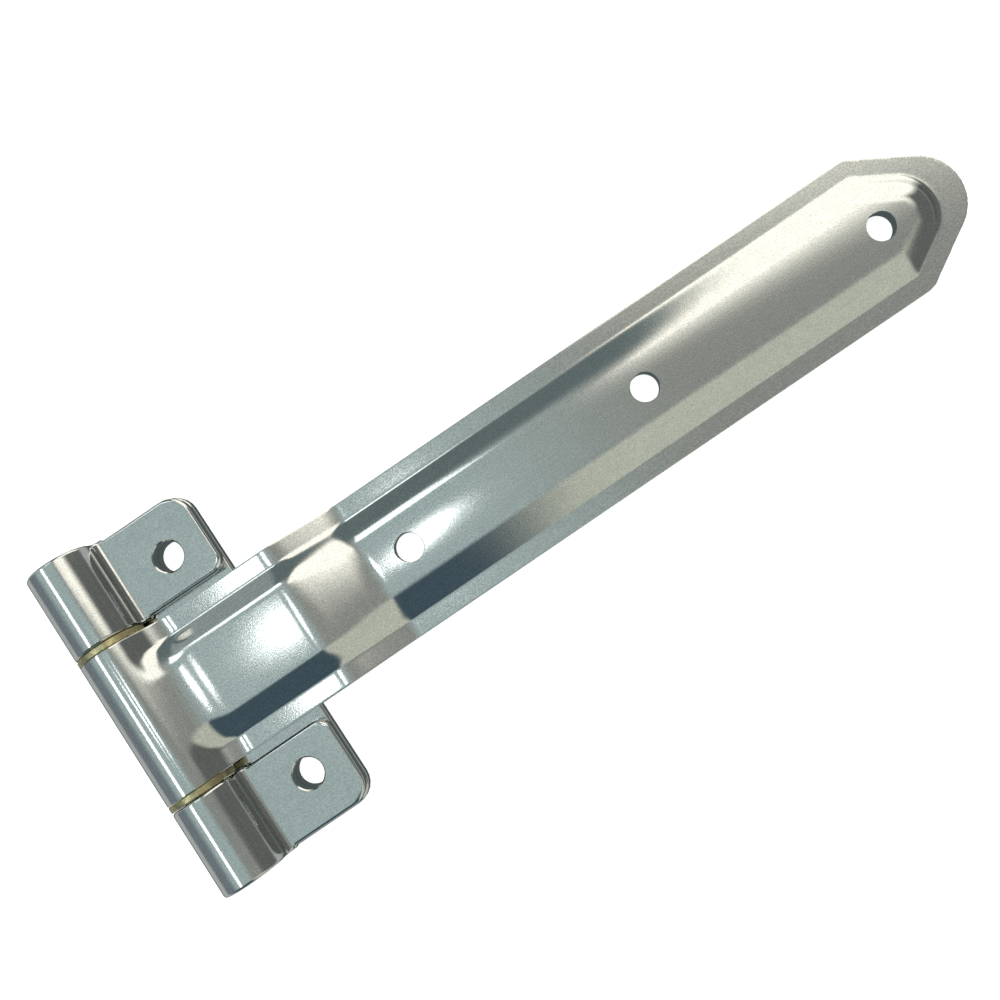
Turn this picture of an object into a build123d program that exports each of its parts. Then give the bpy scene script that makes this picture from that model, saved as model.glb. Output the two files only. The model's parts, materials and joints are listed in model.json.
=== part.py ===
"""Tee hinge for a vehicle body door: a pressed strap and a folded butt on one pin.

Frame: X runs along the strap to its tip, Y along the pin, Z out of the mounting plane.
The origin is the middle of the butt's two bolt holes, on the mounting plane.
The strap lies closed over the butt, as the hinge is shipped.  Units are millimetres.
"""

import os
from math import asin, atan2, cos, degrees, radians, sin, sqrt, tan

from build123d import *

# Sheet, pin and barrel
sheet_t = 4.0  # both leaves are pressed from the same sheet
edge_break = 0.5  # chamfer of the sheared edges that show
pin_d = 12.0
pin_recess = 0.4  # the pin's ends stand this far inside the barrel's ends
pin_chamfer = 0.8
bore_clear = 0.05  # radial clearance of the rolled eyes on the pin
eye_len = 45.0  # the strap's eye, which is also the strap's width
side_eye_len = 27.0  # each of the butt's two eyes
washer_t = 2.0
washer_edge = 0.3  # chamfer
washer_bore_clear = 0.1  # radial
washer_gap = 0.1  # running clearance on each face of a washer

# Butt
butt_depth = 38.9  # pin axis to the butt's free edge
butt_hole_setback = 26.5  # pin axis to the bolt holes
butt_hole_pitch = 73.0
butt_hole_d = 9.0
ply_gap = 0.2  # what the fold leaves between an ear and the base ply
ear_bend_r = 3.0  # hollow bend from a side eye down to its ear
ear_setback = 0.6  # an ear's side edges stand back from its eye's ends
ear_outer_r = 6.5
ear_inner_r = 4.0
notch_clear = 1.5  # from the strap's eye to the base ply's top edge
notch_r = 2.0

# Strap, with lengths taken from the pin axis
strap_reach = 273.0
strap_taper = 31.0  # half angle of the pointed end, in degrees
strap_nose_r = 14.0
strap_corner_r = 8.0  # where the parallel sides turn into the taper
tip_hole = 28.0  # the tip to the last hole
hole_pitch = 80.0
hole_count = 3
strap_hole_d = 8.5
raise_h = 7.0  # lift of the neck over the base ply
neck_end = 52.0  # where the neck starts to step down
step_len = 19.0
step_r = 12.0
neck_bend_r = 8.0  # hollow bend from the eye down to the neck
eye_end_angle = 20.0  # the eye's free end stops this far below the pin's level, in degrees

# Pressed panel of the strap
margin_w = 6.0  # flat width beside the panel
panel_nose_r = 11.5
panel_end_r = 4.0  # rounding over the panel's nose
wall_angle = 42.0  # the panel's walls from the flat, in degrees
boss_shoulder_h = 4.2  # on the neck, margin to the wall's top
boss_crown = 0.2  # rise of the top between the walls
boss_shoulder_r = 3.5
boss_bend_r = 17.0  # hollow bend from the eye down to the boss
boss_bite = 0.3  # the boss runs this far into the eye, so that they join
low_shoulder_h = 2.7  # the same on the low run
low_crown = 1.7
low_shoulder_r = 4.5

# Sizes that follow
touch = 0.01  # how near counts as the same place when edges are picked
bore_r = pin_d / 2 + bore_clear
barrel_r = bore_r + sheet_t
axis_x = -butt_hole_setback
axis_z = barrel_r
side_eye_in = eye_len / 2 + washer_t + 2 * washer_gap
side_eye_out = side_eye_in + side_eye_len
pin_len = 2 * (side_eye_out - pin_recess)
ear_w = side_eye_len - 2 * ear_setback
ear_mid = side_eye_in + side_eye_len / 2
ear_top = 2 * sheet_t + ply_gap
butt_edge = axis_x + butt_depth
notch_edge = axis_x + sqrt(barrel_r**2 - (axis_z - sheet_t) ** 2) + notch_clear
half_w = eye_len / 2
tip_x = axis_x + strap_reach
neck_top = raise_h + sheet_t
step_angle = atan2(raise_h, step_len)
taper = radians(strap_taper)
nose_x = tip_x - strap_nose_r
corner_x = nose_x + strap_nose_r / sin(taper) - half_w / tan(taper)
wall = radians(wall_angle)
boss_h = boss_shoulder_h + boss_crown
panel_h = max(boss_h, low_shoulder_h + low_crown)
foot_inset = sheet_t * tan(wall / 2)  # between the two faces of the sheet at a wall's foot

os.makedirs("parts", exist_ok=True)


def hollow_bend(flat_z, bend_r):
    """Centre of the bend from the barrel down to a flat at flat_z, and its angle on the barrel in degrees."""
    rise = flat_z + bend_r - axis_z
    span = barrel_r + bend_r
    return axis_x + sqrt(span**2 - rise**2), flat_z + bend_r, degrees(asin(rise / span))


def along(skin, edges):
    """Those edges of a leaf, bend lines apart, that run along its outer skin, a line drawn in side view."""
    crossing = edges.filter_by(Axis.Y, reverse=True)
    return crossing.filter_by(lambda e: skin.distance_to((e.center().X, e.center().Z, 0)) < touch)


ear_bend_x, ear_bend_z, ear_bend_angle = hollow_bend(ear_top, ear_bend_r)
neck_bend_x, neck_bend_z, neck_bend_angle = hollow_bend(neck_top, neck_bend_r)
boss_bend_x, boss_bend_z, boss_bend_angle = hollow_bend(neck_top + boss_h, boss_bend_r)

# Butt: base ply, two rolled eyes and the ears folded back on the base ply
with BuildLine() as butt_skin:
    Line((butt_edge, 0), (axis_x, 0))
    CenterArc((axis_x, axis_z), barrel_r, 270, ear_bend_angle - 270)
    CenterArc((ear_bend_x, ear_bend_z), ear_bend_r, 180 + ear_bend_angle, 90 - ear_bend_angle)
    Line((ear_bend_x, ear_top), (butt_edge, ear_top))

with BuildPart() as butt_bracket:
    with BuildSketch(Plane.XZ) as strip_side:
        with BuildLine():
            add(butt_skin.line)
            offset(amount=sheet_t, side=Side.RIGHT)
        make_face()
    extrude(amount=side_eye_out, both=True)
    # between the eyes only the base ply is left, and the ears are narrower than their eyes
    with BuildSketch() as between_eyes:
        with Locations((axis_x, 0)):
            Rectangle(2 * butt_depth, 2 * side_eye_in)
    extrude(amount=2 * barrel_r, mode=Mode.SUBTRACT)
    with BuildSketch(Plane.XY.offset(sheet_t + ply_gap / 2)) as beside_ears:
        with Locations((ear_bend_x, 0)):
            Rectangle(butt_depth, 2 * side_eye_out, align=(Align.MIN, Align.CENTER))
        with Locations((ear_bend_x, ear_mid), (ear_bend_x, -ear_mid)):
            Rectangle(butt_depth, ear_w, align=(Align.MIN, Align.CENTER), mode=Mode.SUBTRACT)
    extrude(amount=2 * barrel_r, mode=Mode.SUBTRACT)
    with BuildSketch() as base_middle:
        with Locations((notch_edge, 0)):
            Rectangle(butt_edge - notch_edge, 2 * side_eye_in, align=(Align.MIN, Align.CENTER))
    extrude(amount=sheet_t)
    free_end = butt_bracket.edges().filter_by(Axis.Z).group_by(Axis.X)[-1]
    fillet(free_end.filter_by(lambda e: abs(e.center().Y) > ear_mid), ear_outer_r)
    free_end = butt_bracket.edges().filter_by(Axis.Z).group_by(Axis.X)[-1]
    fillet(free_end.filter_by(lambda e: abs(e.center().Y) < ear_mid), ear_inner_r)
    upright = butt_bracket.edges().filter_by(Axis.Z)
    fillet(upright.filter_by(lambda e: abs(e.center().X - notch_edge) < touch), notch_r)
    with GridLocations(0, butt_hole_pitch, 1, 2):
        Hole(butt_hole_d / 2)
    rims = butt_bracket.edges().filter_by(lambda e: e.is_closed)
    chamfer(along(butt_skin.wire(), butt_bracket.edges() - rims), edge_break)
butt_bracket.part.label = "butt_bracket"
export_step(butt_bracket.part, "parts/butt_bracket.step")


# Strap
def run_line(skin_z):
    """Corners and bend radii, from tip to neck, of the sheet's face that lies at skin_z on the low run."""
    foot_x = axis_x + neck_end + step_len - (sheet_t - skin_z) * tan(step_angle / 2)
    neck_z = raise_h + skin_z
    corners = [(tip_x, skin_z), (foot_x, skin_z), (foot_x - step_len, neck_z), (neck_bend_x, neck_z)]
    return corners, [step_r + sheet_t - skin_z, step_r + skin_z]


def pointed_end(point_x, nose_r, back):
    """Plan of the strap's end: sides that meet at point_x, a rounded nose, and a width of twice back."""
    round_x = point_x - nose_r / sin(taper)
    with BuildSketch(mode=Mode.PRIVATE) as plan:
        with BuildLine():
            side = Line(
                (round_x + nose_r * sin(taper), nose_r * cos(taper)),
                (point_x - back / tan(taper), back),
            )
            other = mirror(side, about=Plane.XZ)
            ThreePointArc(other @ 0, (round_x + nose_r, 0), side @ 0)
            Line(side @ 1, other @ 1)
        make_face()
    return plan.sketch


def panel_section(x, base_z, inset, shoulder_h, crown, shoulder_r):
    """The panel's section at x, standing on a face of the sheet at base_z and reaching into the sheet."""
    half_foot = half_w - margin_w - inset
    half_top = half_foot - shoulder_h / tan(wall)
    with BuildSketch(Plane((x, 0, base_z), x_dir=(0, 1, 0), z_dir=(1, 0, 0))) as section:
        with BuildLine():
            foot = Polyline(
                (half_top, shoulder_h),
                (half_foot, 0),
                (half_foot, -sheet_t / 2),
                (-half_foot, -sheet_t / 2),
                (-half_foot, 0),
                (-half_top, shoulder_h),
            )
            ThreePointArc(foot @ 1, (0, shoulder_h + crown), foot @ 0)
        make_face()
        fillet(section.vertices().group_by(Axis.Y)[-1], shoulder_r - inset)
    return section.sketch


def nose_cut(point_x, inset, skin_z):
    """What is cut away round the panel's pointed nose, with walls that lean as the panel's own."""
    back_x = point_x - 2 * half_w / tan(taper)
    with BuildPart() as cut:
        with Locations((back_x, 0, skin_z - sheet_t / 2)):
            Box(strap_reach, 4 * half_w, sheet_t / 2 + panel_h, align=(Align.MIN, Align.CENTER, Align.MIN))
        with BuildSketch(Plane.XY.offset(skin_z)) as nose_plan:
            add(pointed_end(point_x, panel_nose_r - inset, 3 * half_w))
        extrude(amount=panel_h, taper=90 - wall_angle, mode=Mode.SUBTRACT)
        extrude(nose_plan.sketch, amount=-sheet_t / 2, mode=Mode.SUBTRACT)
    return cut.part


def panel_form(inset, skin_z, keep_free):
    """The pressed panel as a solid: a boss on the neck that runs into the eye, then a crowned run to a point.

    It stands on the sheet's face at skin_z, inset narrows its foot for the hollow side of the sheet,
    and keep_free is left out of it.
    """
    neck_z = raise_h + skin_z
    point_x = corner_x - margin_w * tan(taper / 2) + (half_w - margin_w) / tan(taper) - inset / sin(taper)
    mitre_x = point_x - (half_w - margin_w - inset) / tan(taper)
    corners, radii = run_line(skin_z)
    with BuildLine(Plane.XZ) as run:
        FilletPolyline(corners[::-1], radius=radii[::-1])
    step_run = run.edges().sort_by(Axis.X)[1:-1]
    step_x = [step_run[0].bounding_box().min.X, step_run[-1].bounding_box().max.X]
    with BuildLine(Plane.XZ) as neck_run:
        Line((step_x[0], neck_z), (boss_bend_x - boss_bite, neck_z))
        CenterArc((boss_bend_x - boss_bite, boss_bend_z), boss_bend_z - neck_z, 270, boss_bend_angle - 90)
    boss = panel_section(step_x[0], neck_z, inset, boss_shoulder_h, boss_crown, boss_shoulder_r)
    low = panel_section(step_x[1], skin_z, inset, low_shoulder_h, low_crown, low_shoulder_r)
    nose_waste = nose_cut(point_x, inset, skin_z)
    with BuildPart() as form:
        sweep(boss, path=neck_run.wire())
        sweep([boss, low], path=Wire(step_run), multisection=True)
        extrude(low, amount=tip_x - step_x[1])
        add(nose_waste, mode=Mode.SUBTRACT)
        raised = form.edges().filter_by(lambda e: e.center().Z > skin_z + touch)
        nose = raised.filter_by_position(Axis.X, mitre_x - panel_h, tip_x)
        wall_seams = nose.filter_by(GeomType.LINE).filter_by_position(Axis.X, mitre_x + panel_h, tip_x)
        fillet(nose - wall_seams, panel_end_r - inset)
        add(keep_free, mode=Mode.SUBTRACT)
    return form.part


# What the panel must leave free: the bore, and on the hollow side the eye's roll past its top as well
with BuildPart(Plane((axis_x, 0, axis_z), z_dir=(0, -1, 0))) as bore:
    Cylinder(bore_r, eye_len)
with BuildPart() as roll:
    with BuildSketch(Plane.XZ) as roll_side:
        with BuildLine():
            inner_roll = CenterArc((axis_x, axis_z), bore_r, 90, 270 - eye_end_angle)
            outer_roll = CenterArc((axis_x, axis_z), barrel_r, 90, 270 - eye_end_angle)
            Line(inner_roll @ 0, outer_roll @ 0)
            Line(inner_roll @ 1, outer_roll @ 1)
        make_face()
    extrude(amount=half_w, both=True)

panel_out = panel_form(0, sheet_t, bore.part)
panel_in = panel_form(foot_inset, 0, roll.part)

with BuildLine() as strap_skin:
    corners, radii = run_line(sheet_t)
    FilletPolyline(corners, radius=radii)
    CenterArc((neck_bend_x, neck_bend_z), neck_bend_r, 270, neck_bend_angle - 90)
    CenterArc((axis_x, axis_z), barrel_r, neck_bend_angle, 360 - eye_end_angle - neck_bend_angle)

with BuildPart() as strap:
    with BuildSketch(Plane.XZ) as strap_side:
        with BuildLine():
            add(strap_skin.line)
            corners, radii = run_line(0)
            inner_run = FilletPolyline(corners, radius=radii)
            CenterArc((neck_bend_x, neck_bend_z), neck_bend_r + sheet_t, 270, neck_bend_angle - 90)
            inner_eye = CenterArc(
                (axis_x, axis_z), bore_r, neck_bend_angle, 360 - eye_end_angle - neck_bend_angle
            )
            Line(strap_skin.wire() @ 0, inner_run @ 0)
            Line(strap_skin.wire() @ 1, inner_eye @ 1)
        make_face()
    extrude(amount=half_w, both=True)
    with BuildSketch() as strap_plan:
        with Locations((axis_x - barrel_r, 0)):
            Rectangle(corner_x - axis_x + barrel_r, 2 * half_w, align=(Align.MIN, Align.CENTER))
        add(pointed_end(corner_x + half_w / tan(taper), strap_nose_r, half_w))
        turns = strap_plan.vertices().filter_by(lambda v: abs(v.X - corner_x) < touch)
        fillet(turns, strap_corner_r)
    extrude(amount=2 * barrel_r, mode=Mode.INTERSECT)
    chamfer(along(strap_skin.wire(), strap.edges()), edge_break)
    add(panel_out)
    add(panel_in, mode=Mode.SUBTRACT)
    with Locations((tip_x - tip_hole - (hole_count - 1) * hole_pitch / 2, 0)):
        with GridLocations(hole_pitch, 0, hole_count, 1):
            Hole(strap_hole_d / 2)
strap.part.label = "strap"
export_step(strap.part, "parts/strap.step")

# Pin, plain and headless
with BuildPart(Plane((axis_x, 0, axis_z), z_dir=(0, 1, 0))) as hinge_pin:
    Cylinder(pin_d / 2, pin_len)
    chamfer(hinge_pin.edges().filter_by(GeomType.CIRCLE), pin_chamfer)
hinge_pin.part.label = "hinge_pin"
export_step(hinge_pin.part, "parts/hinge_pin.step")

# Washers, one between each pair of eyes
for name, side in (("upper_washer", 1), ("lower_washer", -1)):
    middle_y = side * (eye_len / 2 + washer_gap + washer_t / 2)
    with BuildPart(Plane((axis_x, middle_y, axis_z), z_dir=(0, 1, 0))) as washer:
        Cylinder(barrel_r, washer_t)
        chamfer(washer.edges().filter_by(GeomType.CIRCLE), washer_edge)
        Hole(pin_d / 2 + washer_bore_clear)
    washer.part.label = name
    export_step(washer.part, f"parts/{name}.step")
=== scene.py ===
"""Looks of a zinc-plated tee hinge: a pressed strap and a folded butt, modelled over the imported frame.

Both leaves are shaped as their sheet's middle face, pressed and rolled, and then given the sheet's
thickness. The pin and the washers keep their frame solids and get finishes. Units are metres.
"""

import json
from math import asin, atan2, cos, hypot, pi, radians, sin, sqrt, tan

import bmesh
import bpy
from bpy.props import FloatProperty, FloatVectorProperty, IntProperty, PointerProperty
from bpy.types import Operator, Panel, PropertyGroup
from mathutils import Matrix, Vector


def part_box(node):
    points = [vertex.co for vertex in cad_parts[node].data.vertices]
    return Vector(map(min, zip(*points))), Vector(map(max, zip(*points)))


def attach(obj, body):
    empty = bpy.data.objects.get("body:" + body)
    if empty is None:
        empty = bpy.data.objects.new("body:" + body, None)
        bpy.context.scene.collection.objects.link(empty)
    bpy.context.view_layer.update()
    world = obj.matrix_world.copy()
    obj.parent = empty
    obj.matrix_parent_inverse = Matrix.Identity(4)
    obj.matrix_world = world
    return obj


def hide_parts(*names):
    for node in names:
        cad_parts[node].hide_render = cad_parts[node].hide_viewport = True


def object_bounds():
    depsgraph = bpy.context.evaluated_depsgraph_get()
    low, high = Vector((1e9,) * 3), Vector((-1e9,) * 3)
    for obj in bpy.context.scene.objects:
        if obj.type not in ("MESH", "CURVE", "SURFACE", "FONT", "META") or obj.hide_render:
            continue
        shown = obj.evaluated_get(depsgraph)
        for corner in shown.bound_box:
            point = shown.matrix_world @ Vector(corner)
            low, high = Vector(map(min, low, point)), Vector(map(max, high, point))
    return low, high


bl_info = {
    "name": "Tee Hinge",
    "version": (1, 0, 0),
    "blender": (4, 5, 0),
    "location": "View3D > Sidebar > Tee Hinge",
    "description": "Models and dresses a zinc-plated tee hinge over its packed frame",
    "category": "Object",
}

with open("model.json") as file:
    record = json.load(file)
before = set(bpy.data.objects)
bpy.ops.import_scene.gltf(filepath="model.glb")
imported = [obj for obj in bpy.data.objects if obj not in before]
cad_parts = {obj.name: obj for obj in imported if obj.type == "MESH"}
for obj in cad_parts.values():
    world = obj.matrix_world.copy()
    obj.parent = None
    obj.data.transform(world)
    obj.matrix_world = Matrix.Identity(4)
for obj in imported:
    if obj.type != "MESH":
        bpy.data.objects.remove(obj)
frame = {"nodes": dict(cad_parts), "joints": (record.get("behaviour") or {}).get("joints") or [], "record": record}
cad_low, cad_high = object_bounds()

MM = 0.001
swing = frame["joints"][0]
mounts = {mount["name"]: mount for mount in frame["record"]["mounts"]}
strap_low, strap_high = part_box("strap")
butt_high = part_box("butt_bracket")[1]
washer_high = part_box("upper_washer")[1]

AXIS_X, AXIS_Z = swing["pos_m"][0], swing["pos_m"][2]
BARREL_R = AXIS_X - strap_low.x
HALF_W = strap_high.y
TIP_X = strap_high.x
BUTT_EDGE = butt_high.x
BARREL_END = butt_high.y
WASHER_OUT = washer_high.y

# Vertices nearer to each other than this are joined
WELD = 0.02 * MM
# How near to a place something counts as being there, on a fine and on a coarse mesh
CLOSE = 0.01 * MM
NEARBY = 0.5 * MM
# Edges that turn by more than these are rounded as sheared edges, or kept sharp in the shading
SHEARED = radians(50)
SHARP = radians(35)
# Turn from the top or the bottom of an eye, round its back, to the pin's level on its front
EYE_TURN = 1.5 * pi
# Cutters of the bolt holes
DRILL_SIDES = 64
DRILL_DEPTH = 60 * MM
# Planes on each half of the strap's nose, and parts that the turn of each of its corners is cut into
NOSE_CUTS = 10
CORNER_PARTS = 4
# Decimals of a metre to which hole places are compared
PLACE_DIGITS = 6

# Noise patterns of the finishes: waves to the metre, detail and roughness
NOISES = {
    "grain": (2400, 2, 0.7),
    "blotch": (300, 4, 0.65),
    "wave": (35, 1, 0.5),
    "drawn": (1500, 3, 0.6),
    "tarnish": (700, 4, 0.6),
    "cut": (900, 5, 0.65),
}
# Squeezing of the coordinates that draws marks out along the eye and along the strap
EYE_DRAWN = (1, 0.03, 1)
RUN_DRAWN = (0.02, 1, 1)
# What a pattern is turned into: the new low and high, then the pattern's own low and high
SPREADS = {
    "on_eye": (0.5, 0, -16 * MM, -12 * MM),
    "eye_marks": (1, 0, 0.35, 0.6),
    "run_marks": (0.25, 0, 0.3, 0.5),
    "blotch": (0.35, 0, 0.3, 0.7),
    "zinc_plate": (0.11, 0.07, 0.3, 0.7),
    "washer_metal": (0.42, 0.28, 0.3, 0.7),
    "pin_steel": (0.48, 0.3, 0.3, 0.7),
}
# Where on a pattern the deep colour ends and the clean colour starts
TONES = {"grain": (0.34, 0.62), "tarnish": (0.35, 0.65), "cut": (0.3, 0.65)}
# Strength and height of the bumps that a pattern makes
BUMPS = {
    "wave": (0.03, 1.0 * MM),
    "grain": (0.06, 0.12 * MM),
    "tarnish": (0.15, 0.1 * MM),
    "cut": (0.2, 0.1 * MM),
}
# Share of the pin's colour in its dark marks
PIN_DARK = 0.6
FLOOR_GLOW = 0.9
FLOOR_ROUGHNESS = 0.9

# Camera of the photograph: lens and sensor in millimetres, near limit and place in metres, turns in radians
CAMERA_LENS = 36.0
CAMERA_SENSOR = 36.0
CAMERA_NEAR = 0.01
CAMERA_PLACE = (0.08888, -0.02391, 0.2881)
CAMERA_TURNS = (-0.0570, -0.0466, 0.5952)


def length(name, words, size_mm):
    """A length that the user can set, given in millimetres."""
    return FloatProperty(name=name, description=words, default=size_mm * MM, unit="LENGTH", precision=5)


def turn(name, words, size_deg):
    """An angle that the user can set, given in degrees."""
    return FloatProperty(name=name, description=words, default=radians(size_deg), subtype="ANGLE")


def tint(name, words, red, green, blue):
    """A colour that the user can set."""
    return FloatVectorProperty(
        name=name, description=words, default=(red, green, blue), subtype="COLOR", min=0, max=1
    )


def count(name, words, faces, least):
    """A number of faces that the user can set."""
    return IntProperty(name=name, description=words, default=faces, min=least)


class TeeHingeSheet(PropertyGroup):
    """Sizes that both leaves share"""

    thickness: length("Thickness", "Thickness of the sheet", 4.0)
    edge: length("Edge", "Rounding of the sheared edges", 0.9)
    edge_steps: count("Edge steps", "Faces across a rounded edge", 3, 1)
    roll_steps: count("Roll steps", "Faces round an eye", 72, 8)
    bend_steps: count("Bend steps", "Faces round a hollow bend", 14, 2)


class TeeHingeStrap(PropertyGroup):
    """Sizes of the strap, with places along it taken from the pin's axis"""

    lift: length("Lift", "How far the neck is raised to clear the butt", 7.0)
    neck_end: length("Neck end", "Where the neck starts to step down", 52.0)
    step: length("Step", "Length of the step", 19.0)
    step_soft: length("Step softness", "Half the length over which each bend of the step is rounded", 3.6)
    neck_bend: length("Neck bend", "Radius of the hollow bend behind the eye", 14.0)
    eye_end: turn("Eye end", "How far below the pin's level the eye's free end stops", 20.0)
    taper: turn("Taper", "Half angle of the pointed end", 31.0)
    nose: length("Nose", "Radius of the tip", 14.0)
    corner: length("Corner", "Radius where the sides turn into the taper", 8.0)
    margin: length("Margin", "Flat width beside the pressed panel", 6.0)
    margin_tilt: turn("Margin tilt", "How far the neck's margins turn up towards their edges", 2.0)
    panel_nose: length("Panel nose", "Radius of the panel's point", 11.5)
    boss_bend: length("Boss bend", "Radius of the hollow bend from the eye down to the boss", 38.0)
    boss_height: length("Boss height", "Height of the panel's shoulder on the neck", 4.2)
    boss_crown: length("Boss crown", "Rise of the panel's top on the neck", 0.2)
    boss_wall: turn("Boss wall", "Slope of the panel's walls on the neck", 42.0)
    boss_round: length("Boss rounding", "Softness of the shoulder on the neck", 0.8)
    low_height: length("Low height", "Height of the panel's shoulder on the low run", 2.7)
    low_crown: length("Low crown", "Rise of the panel's top on the low run", 1.7)
    low_flat: FloatProperty(
        name="Low flatness", description="How flat the crown's middle is", default=0.6, subtype="FACTOR"
    )
    low_wall: turn("Low wall", "Slope of the panel's walls on the low run", 42.0)
    low_round: length("Low rounding", "Softness of the shoulder on the low run", 2.6)
    foot_round: length("Foot rounding", "Softness at the panel's foot", 1.7)
    valley_round: length("Valley rounding", "Softness of the shoulder where the boss runs into the eye", 3.0)
    valley_len: length("Valley length", "Over how much of the strap the boss softens towards the eye", 8.0)
    cell_x: length("Cell length", "Size of the sheet's mesh along the strap", 0.75)
    cell_y: length("Cell width", "Size of the sheet's mesh across the strap", 0.5)
    hole_flare: length("Hole flare", "Chamfer round the bolt holes", 0.15)


class TeeHingeButt(PropertyGroup):
    """Sizes of the butt"""

    ply_gap: length("Ply gap", "Gap between an ear and the base ply", 0.2)
    ear_bend: length("Ear bend", "Radius of the hollow bend from an eye to its ear", 2.2)
    ear_setback: length("Ear setback", "How far an ear's side edges stand back from its eye", 0.6)
    ear_outer: length("Ear outer corner", "Radius of an ear's outer corner", 6.5)
    ear_inner: length("Ear inner corner", "Radius of an ear's inner corner", 4.0)
    corner_steps: count("Corner steps", "Faces round a corner of an ear", 6, 2)
    eye_gap: length("Eye gap", "Running clearance between a washer and its side eye", 0.1)
    notch_clear: length("Notch clearance", "From the strap's eye to the base ply's edge", 0.05)
    hole_flare: length("Hole flare", "Chamfer round the bolt holes", 0.35)


class TeeHingeFinish(PropertyGroup):
    """Colours of the finishes"""

    zinc: tint("Zinc", "Bright zinc plating", 0.86, 0.875, 0.87)
    zinc_deep: tint("Zinc deep", "Darker grains of the plating", 0.56, 0.59, 0.59)
    washer: tint("Washer", "Dull yellow of the washers", 0.72, 0.65, 0.38)
    washer_deep: tint("Washer deep", "Tarnish on the washers", 0.42, 0.37, 0.21)
    pin: tint("Pin", "Cut steel of the pin", 0.46, 0.47, 0.48)
    floor: tint("Floor", "Plain pale floor", 0.92, 0.92, 0.92)


class TeeHingeStage(PropertyGroup):
    """Lights and surroundings"""

    ceiling: tint("Ceiling", "Grey-green ceiling over the hinge", 0.44, 0.53, 0.52)
    ceiling_ahead: tint("Ceiling ahead", "Brown-grey ceiling past the strap's tip", 0.33, 0.335, 0.305)
    left_dark: tint("Left dark", "Dark part of the room's left side", 0.15, 0.19, 0.19)
    left_near: tint("Left near", "Part of the room's left side beside the barrel", 0.32, 0.37, 0.36)
    left_pale: tint("Left pale", "Pale part of the room's left side", 0.70, 0.68, 0.60)
    right_dark: tint("Right dark", "Dark part of the room's right side", 0.065, 0.10, 0.125)
    right_pale: tint("Right pale", "Pale part of the room's right side", 0.60, 0.61, 0.51)
    behind: tint("Behind", "The room behind the barrel", 0.20, 0.235, 0.26)
    far: tint("Far", "The room's dim far end, past the window", 0.15, 0.155, 0.145)
    below: tint("Below", "The pale floor as the edges reflect it", 0.50, 0.51, 0.49)
    under: tint("Under", "The shade straight below, as the holes reflect it", 0.09, 0.11, 0.11)
    window: tint("Window", "Colour of the window ahead on the left", 1.0, 0.955, 0.84)
    window_strength: FloatProperty(
        name="Window strength", description="Brightness of the window", default=1.5, subtype="FACTOR"
    )
    lamp_distance: length("Lamp distance", "How far away the lamps are", 6000.0)
    floor_size: length("Floor size", "Length of the floor's sides", 30000.0)
    floor_drop: length("Floor drop", "How far the floor lies below the hinge", 0.05)


# Where one part of the room turns into the next, as the share of a direction along an axis
ROOM_EDGES = {
    "ceiling_ahead": (-0.08, 0.22),
    "left": (0.50, 0.90),
    "left_near": (0.13, 0.24),
    "left_pale": (0.18, 0.32),
    "right": (0.10, 0.38),
    "right_pale": (-0.06, 0.08),
    "behind": (0.75, 0.95),
    "far": (0.50, 0.78),
    "far_side": (-0.45, -0.25),
    "below": (0.08, 0.25),
    "under": (0.55, 0.80),
    "window_ahead": (0.06, 0.17),
    "window_left": (0.17, 0.39),
}
# Directions along which the window's start ahead and its start on the left are measured
WINDOW_SIDE = (1, -0.16, 0)
WINDOW_SILL = (0.3, 1, 0)
# Lamps: lean from straight up towards +X and +Y in degrees, width and depth in metres, brightness
LAMPS = {
    "boss_lamp": (-15.1, 5.2, 0.38, 0.28, 3.2),
    "hole_lamp": (-5.6, 5.2, 0.50, 0.30, 3.6),
    "shoulder_panel": (-12.0, 38.0, 2.00, 2.00, 1.2),
    "barrel_strip": (-37.0, 3.0, 4.50, 0.80, 2.2),
}

GROUPS = {
    "tee_hinge_stage": TeeHingeStage,
    "tee_hinge_sheet": TeeHingeSheet,
    "tee_hinge_strap": TeeHingeStrap,
    "tee_hinge_butt": TeeHingeButt,
    "tee_hinge_finish": TeeHingeFinish,
}


# Shared modelling steps
def select_none():
    """Leaves nothing selected, so that an operator acts on the new piece alone."""
    if bpy.context.mode != "OBJECT":
        bpy.ops.object.mode_set(mode="OBJECT")
    bpy.ops.object.select_all(action="DESELECT")


def select_only(piece):
    """Leaves one piece selected and active."""
    select_none()
    bpy.context.view_layer.objects.active = piece
    piece.select_set(True)


def new_grid(name, low, high, cells_x, cells_y):
    """A flat grid between two corners, with its place in its mesh."""
    select_none()
    bpy.ops.mesh.primitive_grid_add(x_subdivisions=cells_x, y_subdivisions=cells_y, size=1)
    piece = bpy.context.object
    piece.name = name
    piece.data.name = name
    size = Vector(high) - Vector(low)
    middle = (Vector(high) + Vector(low)) / 2
    piece.data.transform(Matrix.Translation(middle) @ Matrix.Diagonal((size.x, size.y, 1, 1)))
    return piece


def pick(piece, kind, test):
    """In edit mode, selects only the vertices, edges or faces whose middle passes the test."""
    bpy.ops.mesh.select_mode(type=kind)
    bpy.ops.mesh.select_all(action="DESELECT")
    shape = bmesh.from_edit_mesh(piece.data)
    items = {"VERT": shape.verts, "EDGE": shape.edges, "FACE": shape.faces}[kind]
    found = 0
    for item in items:
        if kind == "VERT":
            middle = item.co
        elif kind == "EDGE":
            middle = (item.verts[0].co + item.verts[1].co) / 2
        else:
            middle = item.calc_center_median()
        if test(middle):
            item.select_set(True)
            found += 1
    shape.select_flush(True)
    bmesh.update_edit_mesh(piece.data)
    if not found:
        raise RuntimeError(f"nothing was found to shape on {piece.name}")


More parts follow.
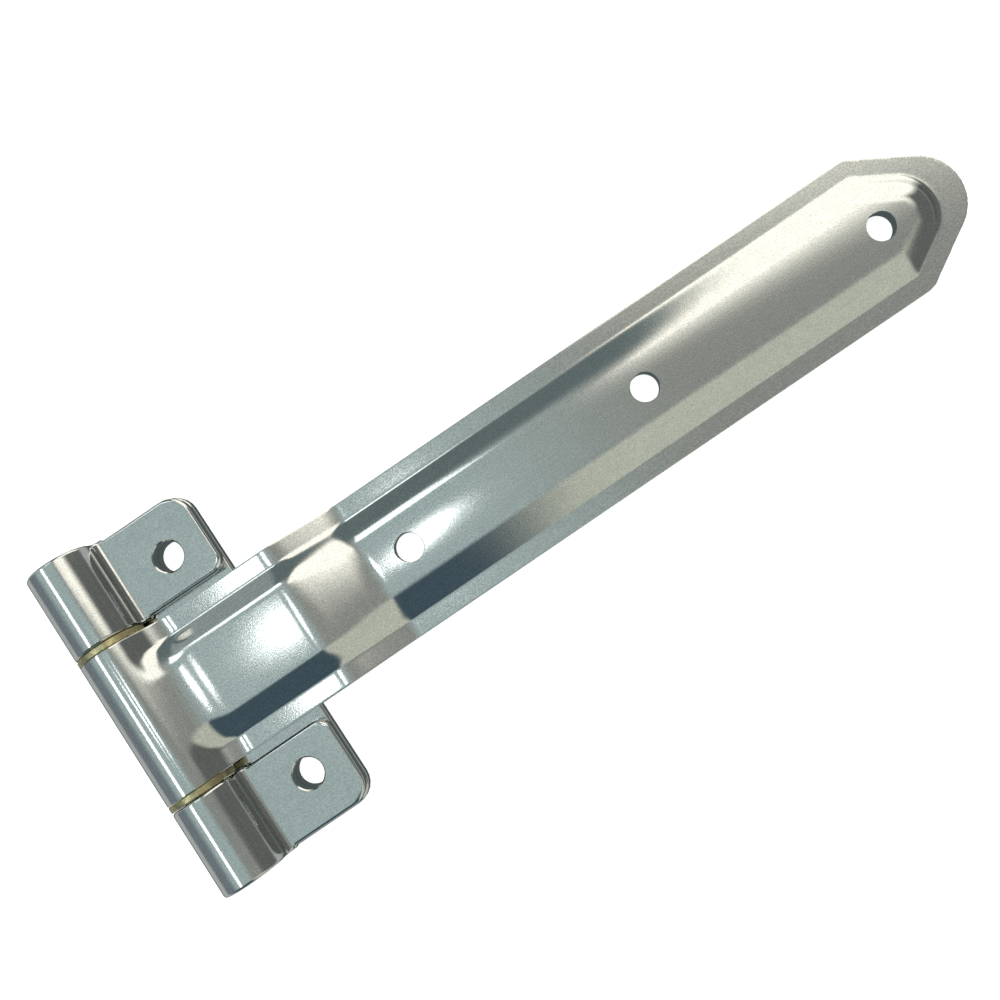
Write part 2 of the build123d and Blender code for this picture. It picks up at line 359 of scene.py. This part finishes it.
def split(point, normal, trim=False):
    """In edit mode, splits all faces along a plane, and cuts away what lies beyond it if trim is set."""
    bpy.ops.mesh.select_all(action="SELECT")
    bpy.ops.mesh.bisect(plane_co=point, plane_no=normal, clear_outer=trim)


def round_corners(radius, steps):
    """Rounds the selected corners of a flat, in edit mode."""
    bpy.ops.mesh.bevel(offset=radius, segments=steps, affect="VERTICES", offset_type="OFFSET")


def roll(centre_x, centre_z, angle, steps):
    """Spins the selected edges round a line along Y, by an angle that is positive from +X over +Z."""
    bpy.ops.mesh.spin(
        steps=steps, angle=angle, center=(centre_x, 0, centre_z), axis=(0, 1, 0), use_auto_merge=False
    )


def apply_modifier(piece, kind, **settings):
    """Adds a modifier to the active piece and applies it."""
    modifier = piece.modifiers.new(kind.title(), kind)
    for key, value in settings.items():
        setattr(modifier, key, value)
    bpy.ops.object.modifier_apply(modifier=modifier.name)


def thicken(piece, sheet):
    """Gives a middle face the sheet's thickness, and rounds the sheared edges."""
    bpy.ops.mesh.select_all(action="SELECT")
    bpy.ops.mesh.remove_doubles(threshold=WELD)
    bpy.ops.mesh.normals_make_consistent(inside=False)
    bpy.ops.object.mode_set(mode="OBJECT")
    apply_modifier(piece, "SOLIDIFY", thickness=sheet.thickness, offset=0, use_even_offset=True)
    apply_modifier(
        piece,
        "BEVEL",
        width=sheet.edge,
        segments=sheet.edge_steps,
        limit_method="ANGLE",
        angle_limit=SHEARED,
    )


def drill(piece, places, radius, top_z, flare):
    """Cuts round holes along Z through the piece, with a small flare where they come out on top."""
    cutters = []
    middle_z = top_z - DRILL_DEPTH / 2 - flare
    widening = 1 + 2 * flare / radius
    for place_x, place_y in places:
        select_none()
        bpy.ops.mesh.primitive_cylinder_add(
            vertices=DRILL_SIDES, radius=radius, depth=DRILL_DEPTH, location=(place_x, place_y, middle_z)
        )
        cutter = bpy.context.object
        bpy.ops.object.transform_apply(location=True)
        bpy.ops.object.mode_set(mode="EDIT")
        pick(cutter, "FACE", lambda p: p.z > top_z - 2 * flare)
        bpy.ops.mesh.extrude_region_move(TRANSFORM_OT_translate={"value": (0, 0, 2 * flare)})
        bpy.ops.transform.resize(value=(widening, widening, 1))
        bpy.ops.object.mode_set(mode="OBJECT")
        cutters.append(cutter)
    select_only(piece)
    apply_modifier(piece, "TRIANGULATE", ngon_method="BEAUTY", min_vertices=5)
    for cutter in cutters:
        apply_modifier(piece, "BOOLEAN", operation="DIFFERENCE", solver="EXACT", object=cutter)
    for cutter in cutters:
        bpy.data.objects.remove(cutter)


def finish_piece(piece, body, node, material):
    """Smooths a finished piece, gives it its material and lets it stand for a frame node."""
    select_only(piece)
    bpy.ops.object.shade_smooth_by_angle(angle=SHARP)
    apply_modifier(piece, "WEIGHTED_NORMAL", keep_sharp=True)
    piece.data.materials.clear()
    piece.data.materials.append(material)
    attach(piece, body)
    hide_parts(node)


def hollow_bend(flat_top, bend_r):
    """Centre of the bend that leads from the barrel down to a flat, and its angle on the barrel."""
    rise = flat_top + bend_r - AXIS_Z
    span = BARREL_R + bend_r
    return AXIS_X + sqrt(span**2 - rise**2), flat_top + bend_r, asin(rise / span)


# Form of the strap
def rounded_corner(distance, soft):
    """Zero before a corner and the distance after it, rounded over twice soft."""
    if distance <= -soft:
        return 0.0
    if distance >= soft:
        return distance
    return (distance + soft) ** 2 / (4 * soft)


def soft_min(a, b, soft):
    """The smaller of two values, rounded where they are close."""
    return a - rounded_corner(a - b, soft)


def ease(value, start, end):
    """Goes smoothly from 0 at start to 1 at end."""
    share = min(max((value - start) / (end - start), 0), 1)
    return share * share * (3 - 2 * share)


def strap_corner_x(strap):
    """Where the strap's parallel sides turn into the taper."""
    return TIP_X - strap.nose + strap.nose / sin(strap.taper) - HALF_W / tan(strap.taper)


class StrapForm:
    """The strap's middle face: its run from the top of the eye to the tip, and the panel pressed in it."""

    def __init__(self, strap, sheet):
        self.strap = strap
        self.half_t = sheet.thickness / 2
        neck_top = strap.lift + sheet.thickness
        self.neck_x, self.neck_z, self.neck_angle = hollow_bend(neck_top, strap.neck_bend)
        boss_top = neck_top + strap.boss_height + strap.boss_crown
        self.boss_x, self.boss_z, self.boss_angle = hollow_bend(boss_top, strap.boss_bend)
        self.bend_r = strap.neck_bend + self.half_t
        self.boss_r = strap.boss_bend + self.half_t
        self.eye_r = BARREL_R - self.half_t
        self.bend_len = self.bend_r * (pi / 2 - self.neck_angle)
        self.eye_len = self.eye_r * (pi / 2 - self.neck_angle)
        self.join_x = AXIS_X + self.eye_r * cos(self.boss_angle)
        self.inset = self.half_t * tan(strap.boss_wall / 2)
        self.half_foot = HALF_W - strap.margin
        corner_x = strap_corner_x(strap)
        self.point_x = corner_x - strap.margin * tan(strap.taper / 2) + self.half_foot / tan(strap.taper)
        self.nose_x = self.point_x - strap.panel_nose / sin(strap.taper)

    def run_point(self, along):
        """Place and height on the run, by the length along the sheet from the neck bend's start."""
        if along >= 0:
            x = self.neck_x + along
            start = AXIS_X + self.strap.neck_end
            fall = rounded_corner(x - start, self.strap.step_soft)
            fall -= rounded_corner(x - start - self.strap.step, self.strap.step_soft)
            return x, self.half_t + self.strap.lift * (1 - fall / self.strap.step)
        if along >= -self.bend_len:
            angle = -along / self.bend_r
            return self.neck_x - self.bend_r * sin(angle), self.neck_z - self.bend_r * cos(angle)
        angle = self.neck_angle + (-along - self.bend_len) / self.eye_r
        return AXIS_X + self.eye_r * cos(angle), AXIS_Z + self.eye_r * sin(angle)

    def inside(self, x, y):
        """How far a place is inside the panel's foot line, seen from above."""
        side = self.half_foot - self.inset - abs(y)
        if abs(y) * tan(self.strap.taper) < x - self.nose_x:
            return min(side, self.strap.panel_nose - self.inset - hypot(x - self.nose_x, y))
        tip = (self.point_x - x) * sin(self.strap.taper) - abs(y) * cos(self.strap.taper) - self.inset
        return min(side, tip)

    def height(self, x, y, run_z):
        """Height of the middle face with the panel pressed in it."""
        strap = self.strap
        if x <= self.join_x:
            return run_z
        boss_share = 1.0
        shoulder = strap.boss_round
        if x < self.boss_x:
            top_z = self.boss_z - sqrt(self.boss_r**2 - (self.boss_x - x) ** 2)
            boss_share = (top_z - run_z) / (strap.boss_height + strap.boss_crown)
            valley = ease(x, self.boss_x, self.boss_x - strap.valley_len)
            shoulder += valley * (strap.valley_round - shoulder)
        share = ease(x - AXIS_X, strap.neck_end - strap.step_soft, strap.neck_end + strap.step)
        margin_share = ease(x, self.join_x, self.neck_x) * (1 - share)
        run_z += margin_share * tan(strap.margin_tilt) * max(abs(y) - self.half_foot, 0)
        inside = self.inside(x, y)
        lean = (y / self.half_foot) ** 2
        boss_top = strap.boss_height + strap.boss_crown * (1 - lean)
        low_lean = lean + strap.low_flat * (lean**2 - lean)
        low_top = strap.low_height + strap.low_crown * (1 - low_lean)
        boss = soft_min(inside * tan(strap.boss_wall), boss_top, shoulder)
        low = soft_min(inside * tan(strap.low_wall), low_top, strap.low_round)
        foot = strap.foot_round * tan(strap.boss_wall)
        return run_z + boss_share * rounded_corner(boss + (low - boss) * share, foot)


def outline_planes(strap):
    """Planes that trim a strip to the strap's pointed end, as a centre, a radius and a direction."""
    lean = pi / 2 - strap.taper
    nose_x = TIP_X - strap.nose
    corner_x = strap_corner_x(strap) - strap.corner * tan(strap.taper / 2)
    for number in range(-NOSE_CUTS, NOSE_CUTS + 1):
        angle = lean * number / NOSE_CUTS
        yield nose_x, 0, strap.nose, angle
    for side in (1, -1):
        for number in range(1, CORNER_PARTS):
            angle = side * (lean + strap.taper * number / CORNER_PARTS)
            yield corner_x, side * (HALF_W - strap.corner), strap.corner, angle


# Finishes
def node_tree(name):
    """An empty material with its shader and output joined."""
    material = bpy.data.materials.new(name)
    material.use_nodes = True
    nodes = material.node_tree.nodes
    nodes.clear()
    shader = nodes.new("ShaderNodeBsdfPrincipled")
    output = nodes.new("ShaderNodeOutputMaterial")
    material.node_tree.links.new(shader.outputs["BSDF"], output.inputs["Surface"])
    return material, nodes, material.node_tree.links, shader


def noise_at(nodes, links, source, name):
    """One of the noise patterns, on the coordinates given."""
    pattern = nodes.new("ShaderNodeTexNoise")
    for key, value in zip(("Scale", "Detail", "Roughness"), NOISES[name]):
        pattern.inputs[key].default_value = value
    links.new(source, pattern.inputs["Vector"])
    return pattern.outputs["Fac"]


def two_tone(nodes, links, source, pattern, deep, clean):
    """A colour that goes from deep to clean over part of a pattern."""
    node = nodes.new("ShaderNodeValToRGB")
    for point, place, colour in zip(node.color_ramp.elements, TONES[pattern], (deep, clean)):
        point.position = place
        point.color = (*colour, 1)
    links.new(source, node.inputs["Fac"])
    return node.outputs["Color"]


def spread(nodes, links, source, low, high, from_low, from_high):
    """Maps a pattern's own range to low and high."""
    node = nodes.new("ShaderNodeMapRange")
    for key, value in (("From Min", from_low), ("From Max", from_high), ("To Min", low), ("To Max", high)):
        node.inputs[key].default_value = value
    links.new(source, node.inputs["Value"])
    return node.outputs["Result"]


def blend(nodes, links, share, first, second):
    """A mix of two colours, each a plain colour or a node's output."""
    node = nodes.new("ShaderNodeMix")
    node.data_type = "RGBA"
    links.new(share, node.inputs["Factor"])
    for socket, colour in zip([entry for entry in node.inputs if entry.type == "RGBA"], (first, second)):
        if isinstance(colour, bpy.types.NodeSocket):
            links.new(colour, socket)
        else:
            socket.default_value = (*colour, 1)
    return next(entry for entry in node.outputs if entry.type == "RGBA")


def bump(nodes, links, height, strength, distance, below=None):
    """A bump of the given height pattern, over another one where below is given."""
    node = nodes.new("ShaderNodeBump")
    node.inputs["Strength"].default_value = strength
    node.inputs["Distance"].default_value = distance
    links.new(height, node.inputs["Height"])
    if below is not None:
        links.new(below, node.inputs["Normal"])
    return node.outputs["Normal"]


def product(nodes, links, first, second):
    """The product of two shares."""
    node = nodes.new("ShaderNodeMath")
    node.operation = "MULTIPLY"
    links.new(first, node.inputs[0])
    links.new(second, node.inputs[1])
    return node.outputs["Value"]


def streaks(nodes, links, place, squeeze):
    """Fine marks along one axis, from a noise pattern that is drawn out by squeezing its coordinates."""
    drawn = nodes.new("ShaderNodeVectorMath")
    drawn.operation = "MULTIPLY"
    drawn.inputs[1].default_value = squeeze
    links.new(place, drawn.inputs[0])
    return noise_at(nodes, links, drawn.outputs["Vector"], "drawn")


def zinc_plate(finish):
    """Bright zinc plating with a pale passivate: fine grains, soft blotches and light drawing marks."""
    material, nodes, links, shader = node_tree("zinc_plate")
    place = nodes.new("ShaderNodeTexCoord").outputs["Object"]
    axes = nodes.new("ShaderNodeSeparateXYZ")
    links.new(place, axes.inputs["Vector"])
    grain = noise_at(nodes, links, place, "grain")
    blotch = noise_at(nodes, links, place, "blotch")
    wave = noise_at(nodes, links, place, "wave")
    on_eye = spread(nodes, links, axes.outputs["X"], *SPREADS["on_eye"])
    eye_marks = spread(nodes, links, streaks(nodes, links, place, EYE_DRAWN), *SPREADS["eye_marks"])
    run_marks = spread(nodes, links, streaks(nodes, links, place, RUN_DRAWN), *SPREADS["run_marks"])
    colour = two_tone(nodes, links, grain, "grain", finish.zinc_deep, finish.zinc)
    colour = blend(nodes, links, spread(nodes, links, blotch, *SPREADS["blotch"]), colour, finish.zinc_deep)
    colour = blend(nodes, links, product(nodes, links, on_eye, eye_marks), colour, finish.zinc_deep)
    colour = blend(nodes, links, run_marks, colour, finish.zinc_deep)
    links.new(colour, shader.inputs["Base Color"])
    shader.inputs["Metallic"].default_value = 1.0
    links.new(spread(nodes, links, blotch, *SPREADS["zinc_plate"]), shader.inputs["Roughness"])
    ripple = bump(nodes, links, wave, *BUMPS["wave"])
    links.new(bump(nodes, links, grain, *BUMPS["grain"], ripple), shader.inputs["Normal"])
    return material


def worn_metal(name, pattern, deep, clean):
    """A metal whose colour, roughness and bumps all follow one pattern."""
    material, nodes, links, shader = node_tree(name)
    place = nodes.new("ShaderNodeTexCoord").outputs["Object"]
    marks = noise_at(nodes, links, place, pattern)
    links.new(two_tone(nodes, links, marks, pattern, deep, clean), shader.inputs["Base Color"])
    shader.inputs["Metallic"].default_value = 1.0
    links.new(spread(nodes, links, marks, *SPREADS[name]), shader.inputs["Roughness"])
    links.new(bump(nodes, links, marks, *BUMPS[pattern]), shader.inputs["Normal"])
    return material


def washer_metal(finish):
    """Dull yellow metal with tarnish."""
    return worn_metal("washer_metal", "tarnish", finish.washer_deep, finish.washer)


def pin_steel(finish):
    """Plain cut steel."""
    dark = [PIN_DARK * part for part in finish.pin]
    return worn_metal("pin_steel", "cut", dark, finish.pin)


def floor_paper(finish):
    """Plain pale floor, clear from below so that the underside can be looked at."""
    material, nodes, links, shader = node_tree("floor_paper")
    two_sided = nodes.new("ShaderNodeMixShader")
    links.new(nodes.new("ShaderNodeNewGeometry").outputs["Backfacing"], two_sided.inputs["Fac"])
    links.new(shader.outputs["BSDF"], two_sided.inputs[1])
    links.new(nodes.new("ShaderNodeBsdfTransparent").outputs["BSDF"], two_sided.inputs[2])
    links.new(two_sided.outputs["Shader"], nodes["Material Output"].inputs["Surface"])
    shader.inputs["Base Color"].default_value = (*finish.floor, 1)
    shader.inputs["Emission Color"].default_value = (*finish.floor, 1)
    shader.inputs["Emission Strength"].default_value = FLOOR_GLOW
    shader.inputs["Roughness"].default_value = FLOOR_ROUGHNESS
    return material


def shared_material(name, make):
    """The material of that name, made once."""
    found = bpy.data.materials.get(name)
    return found or make(bpy.context.scene.tee_hinge_finish)


class OBJECT_OT_tee_hinge_strap(Operator):
    """Models the pressed strap with its rolled eye"""

    bl_idname = "object.tee_hinge_strap"
    bl_label = "Strap"

    def execute(self, context):
        sheet = context.scene.tee_hinge_sheet
        strap = context.scene.tee_hinge_strap
        form = StrapForm(strap, sheet)
        start = -form.bend_len - form.eye_len
        end = TIP_X - form.neck_x
        cells_x = round((end - start) / strap.cell_x)
        cells_y = round(2 * HALF_W / strap.cell_y)
        piece = new_grid("strap_plate", (start, -HALF_W, 0), (end, HALF_W, 0), cells_x, cells_y)
        bpy.ops.object.mode_set(mode="EDIT")
        for centre_x, centre_y, radius, angle in outline_planes(strap):
            normal = (cos(angle), sin(angle), 0)
            point = (centre_x - form.neck_x + radius * normal[0], centre_y + radius * normal[1], 0)
            split(point, normal, trim=True)
        bpy.ops.object.mode_set(mode="OBJECT")
        for vertex in piece.data.vertices:
            x, run_z = form.run_point(vertex.co.x)
            vertex.co.x, vertex.co.z = x, form.height(x, vertex.co.y, run_z)
        bpy.ops.object.mode_set(mode="EDIT")
        pick(piece, "EDGE", lambda p: p.x < AXIS_X + CLOSE)
        roll(AXIS_X, AXIS_Z, EYE_TURN - strap.eye_end, sheet.roll_steps)
        thicken(piece, sheet)
        holes = []
        for name in ("strap_bolts_inner", "strap_bolts_outer"):
            middle = mounts[name]["pos_m"]
            pitch = mounts[name]["dims"]["spacing_x_mm"] * MM
            holes += [(middle[0] - pitch / 2, middle[1]), (middle[0] + pitch / 2, middle[1])]
        # The two mounts share the middle hole, which is drilled once
        holes = sorted(set((round(x, PLACE_DIGITS), y) for x, y in holes))
        radius = mounts["strap_bolts_inner"]["dims"]["hole_r_mm"] * MM
        top = sheet.thickness + strap.low_height + strap.low_crown
        drill(piece, holes, radius, top, strap.hole_flare)
        finish_piece(piece, "strap", "strap", shared_material("zinc_plate", zinc_plate))
        return {"FINISHED"}


class OBJECT_OT_tee_hinge_butt(Operator):
    """Models the butt: its base ply, side eyes and folded ears"""

    bl_idname = "object.tee_hinge_butt"
    bl_label = "Butt"

    def execute(self, context):
        sheet = context.scene.tee_hinge_sheet
        butt = context.scene.tee_hinge_butt
        half_t = sheet.thickness / 2
        eye_in = WASHER_OUT + butt.eye_gap
        ear_in = eye_in + butt.ear_setback
        ear_top = 2 * sheet.thickness + butt.ply_gap
        notch_x = AXIS_X + sqrt(BARREL_R**2 - (AXIS_Z - sheet.thickness) ** 2) + butt.notch_clear
        bend_x, bend_z, bend_angle = hollow_bend(ear_top, butt.ear_bend)
        piece = new_grid("butt_plate", (AXIS_X, -BARREL_END, 0), (BUTT_EDGE, BARREL_END, 0), 1, 1)
        piece.data.transform(Matrix.Translation((0, 0, half_t)))
        bpy.ops.object.mode_set(mode="EDIT")
        for cut in (eye_in, -eye_in):
            split((0, cut, 0), (0, 1, 0))
        split((notch_x, 0, 0), (1, 0, 0))
        pick(piece, "FACE", lambda p: p.x < notch_x and abs(p.y) < eye_in)
        bpy.ops.mesh.delete(type="FACE")
        pick(piece, "VERT", lambda p: p.x > BUTT_EDGE - NEARBY and abs(p.y) > BARREL_END - NEARBY)
        round_corners(butt.ear_outer, butt.corner_steps)
        pick(piece, "EDGE", lambda p: p.x < AXIS_X + CLOSE)
        roll(AXIS_X, AXIS_Z, bend_angle - EYE_TURN, sheet.roll_steps)
        roll(bend_x, bend_z, pi / 2 - bend_angle, sheet.bend_steps)
        for reach in (butt.ear_setback, BUTT_EDGE - bend_x - butt.ear_setback):
            bpy.ops.mesh.extrude_region_move(TRANSFORM_OT_translate={"value": (reach, 0, 0)})
        ear_x = bend_x + butt.ear_setback / 2
        ear_z = AXIS_Z / 2
        for edge_y, shift in ((eye_in, 1), (-eye_in, -1), (BARREL_END, -1), (-BARREL_END, 1)):
            pick(piece, "VERT", lambda p: p.x > ear_x and p.z > ear_z and abs(p.y - edge_y) < NEARBY)
            bpy.ops.transform.translate(value=(0, shift * butt.ear_setback, 0))
        for corner_y, radius in ((BARREL_END - butt.ear_setback, butt.ear_outer), (ear_in, butt.ear_inner)):
            pick(
                piece,
                "VERT",
                lambda p: p.x > BUTT_EDGE - NEARBY and p.z > ear_z and abs(abs(p.y) - corner_y) < NEARBY,
            )
            round_corners(radius, butt.corner_steps)
        thicken(piece, sheet)
        pitch = mounts["butt_bolts"]["dims"]["spacing_y_mm"] * MM
        radius = mounts["butt_bolts"]["dims"]["hole_r_mm"] * MM
        drill(piece, [(0, pitch / 2), (0, -pitch / 2)], radius, ear_top, butt.hole_flare)
        finish_piece(piece, "butt", "butt_bracket", shared_material("zinc_plate", zinc_plate))
        return {"FINISHED"}


class OBJECT_OT_tee_hinge_pin(Operator):
    """Finishes the pin and the washers, which keep their frame solids"""

    bl_idname = "object.tee_hinge_pin"
    bl_label = "Pin and washers"

    def execute(self, context):
        nodes = frame["nodes"]
        for name in ("upper_washer", "lower_washer"):
            nodes[name].data.materials.clear()
            nodes[name].data.materials.append(shared_material("washer_metal", washer_metal))
        nodes["hinge_pin"].data.materials.clear()
        nodes["hinge_pin"].data.materials.append(shared_material("pin_steel", pin_steel))
        return {"FINISHED"}


def soft_lamp(name, distance, lean_x, lean_y, width, depth, strength):
    """An even area light aimed at the middle of the hinge, with strength as its brightness per area."""
    data = bpy.data.lights.new(name, "AREA")
    data.shape = "RECTANGLE"
    data.size, data.size_y = width, depth
    data.energy = strength * pi * width * depth
    lamp = bpy.data.objects.new(name, data)
    bpy.context.scene.collection.objects.link(lamp)
    tilt, heading = radians(hypot(lean_x, lean_y)), atan2(lean_y, lean_x)
    lamp_way = Vector((sin(tilt) * cos(heading), sin(tilt) * sin(heading), cos(tilt)))
    lamp.location = (cad_low + cad_high) / 2 + distance * lamp_way
    lamp.rotation_euler = (-lamp_way).to_track_quat("-Z", "Y").to_euler()


def studio_world(stage):
    """A plain room: ceiling, sides, both ends, floor, and a soft window ahead on the left."""
    world = bpy.data.worlds.new("studio")
    bpy.context.scene.world = world
    world.use_nodes = True
    nodes, links = world.node_tree.nodes, world.node_tree.links
    place = nodes.new("ShaderNodeTexCoord").outputs["Generated"]
    ahead, left, right, behind, down = (1, 0, 0), (0, 1, 0), (0, -1, 0), (-1, 0, 0), (0, 0, -1)

    def part(direction, edges):
        """How far a direction belongs to a part of the room."""
        along = nodes.new("ShaderNodeVectorMath")
        along.operation = "DOT_PRODUCT"
        along.inputs[1].default_value = direction
        links.new(place, along.inputs[0])
        share = spread(nodes, links, along.outputs["Value"], 0, 1, *ROOM_EDGES[edges])
        share.node.interpolation_type = "SMOOTHSTEP"
        return share

    room = blend(nodes, links, part(ahead, "ceiling_ahead"), stage.ceiling, stage.ceiling_ahead)
    left_side = blend(nodes, links, part(ahead, "left_pale"), stage.left_dark, stage.left_pale)
    left_side = blend(nodes, links, part(behind, "left_near"), left_side, stage.left_near)
    right_side = blend(nodes, links, part(ahead, "right_pale"), stage.right_dark, stage.right_pale)
    room = blend(nodes, links, part(left, "left"), room, left_side)
    room = blend(nodes, links, part(right, "right"), room, right_side)
    room = blend(nodes, links, part(behind, "behind"), room, stage.behind)
    window = product(nodes, links, part(WINDOW_SIDE, "window_ahead"), part(WINDOW_SILL, "window_left"))
    light = [stage.window_strength * share for share in stage.window]
    room = blend(nodes, links, window, room, light)
    far_end = product(nodes, links, part(ahead, "far"), part(right, "far_side"))
    room = blend(nodes, links, far_end, room, stage.far)
    room = blend(nodes, links, part(down, "below"), room, stage.below)
    room = blend(nodes, links, part(down, "under"), room, stage.under)
    links.new(room, nodes["Background"].inputs["Color"])


def place_camera():
    """Sets the camera where the photograph was taken from."""
    camera = bpy.data.objects.new("camera", bpy.data.cameras.new("camera"))
    bpy.context.scene.collection.objects.link(camera)
    camera.data.sensor_width = CAMERA_SENSOR
    camera.data.lens = CAMERA_LENS
    camera.data.clip_start = CAMERA_NEAR
    turn_x, turn_y, turn_z = (Matrix.Rotation(angle, 3, axis) for angle, axis in zip(CAMERA_TURNS, "XYZ"))
    look = (turn_x @ turn_y @ turn_z).transposed()
    camera.matrix_world = Matrix.Translation(CAMERA_PLACE) @ look.to_4x4()
    bpy.context.scene.camera = camera


class OBJECT_OT_tee_hinge_stage(Operator):
    """Sets out the floor, the lights and the camera"""

    bl_idname = "object.tee_hinge_stage"
    bl_label = "Stage"

    def execute(self, context):
        stage = context.scene.tee_hinge_stage
        select_none()
        bpy.ops.mesh.primitive_plane_add(size=stage.floor_size, location=(0, 0, -stage.floor_drop))
        floor = context.object
        floor.name = "floor"
        floor.data.materials.append(floor_paper(context.scene.tee_hinge_finish))
        floor.visible_glossy = False
        place_camera()
        studio_world(stage)
        for name, values in LAMPS.items():
            soft_lamp(name, stage.lamp_distance, *values)
        context.scene.view_settings.view_transform = "Standard"
        return {"FINISHED"}


class VIEW3D_PT_tee_hinge(Panel):
    """Lists the hinge's operators and sizes"""

    bl_label = "Tee Hinge"
    bl_space_type = "VIEW_3D"
    bl_region_type = "UI"
    bl_category = "Tee Hinge"

    def draw(self, context):
        for operator in OPERATORS:
            self.layout.operator(operator.bl_idname)
        for name, group in GROUPS.items():
            box = self.layout.box()
            for key in group.__annotations__:
                box.prop(getattr(context.scene, name), key)


OPERATORS = (
    OBJECT_OT_tee_hinge_strap,
    OBJECT_OT_tee_hinge_butt,
    OBJECT_OT_tee_hinge_pin,
    OBJECT_OT_tee_hinge_stage,
)
CLASSES = (*GROUPS.values(), *OPERATORS, VIEW3D_PT_tee_hinge)


def register():
    """Adds the classes and the scene's settings."""
    for entry in CLASSES:
        bpy.utils.register_class(entry)
    for name, group in GROUPS.items():
        setattr(bpy.types.Scene, name, PointerProperty(type=group))


def unregister():
    """Takes the scene's settings and the classes away."""
    for name in GROUPS:
        delattr(bpy.types.Scene, name)
    for entry in reversed(CLASSES):
        bpy.utils.unregister_class(entry)


def main():
    """Builds the hinge and its stage."""
    register()
    bpy.ops.object.tee_hinge_strap()
    bpy.ops.object.tee_hinge_butt()
    bpy.ops.object.tee_hinge_pin()
    bpy.ops.object.tee_hinge_stage()


if __name__ == "__main__":
    main()
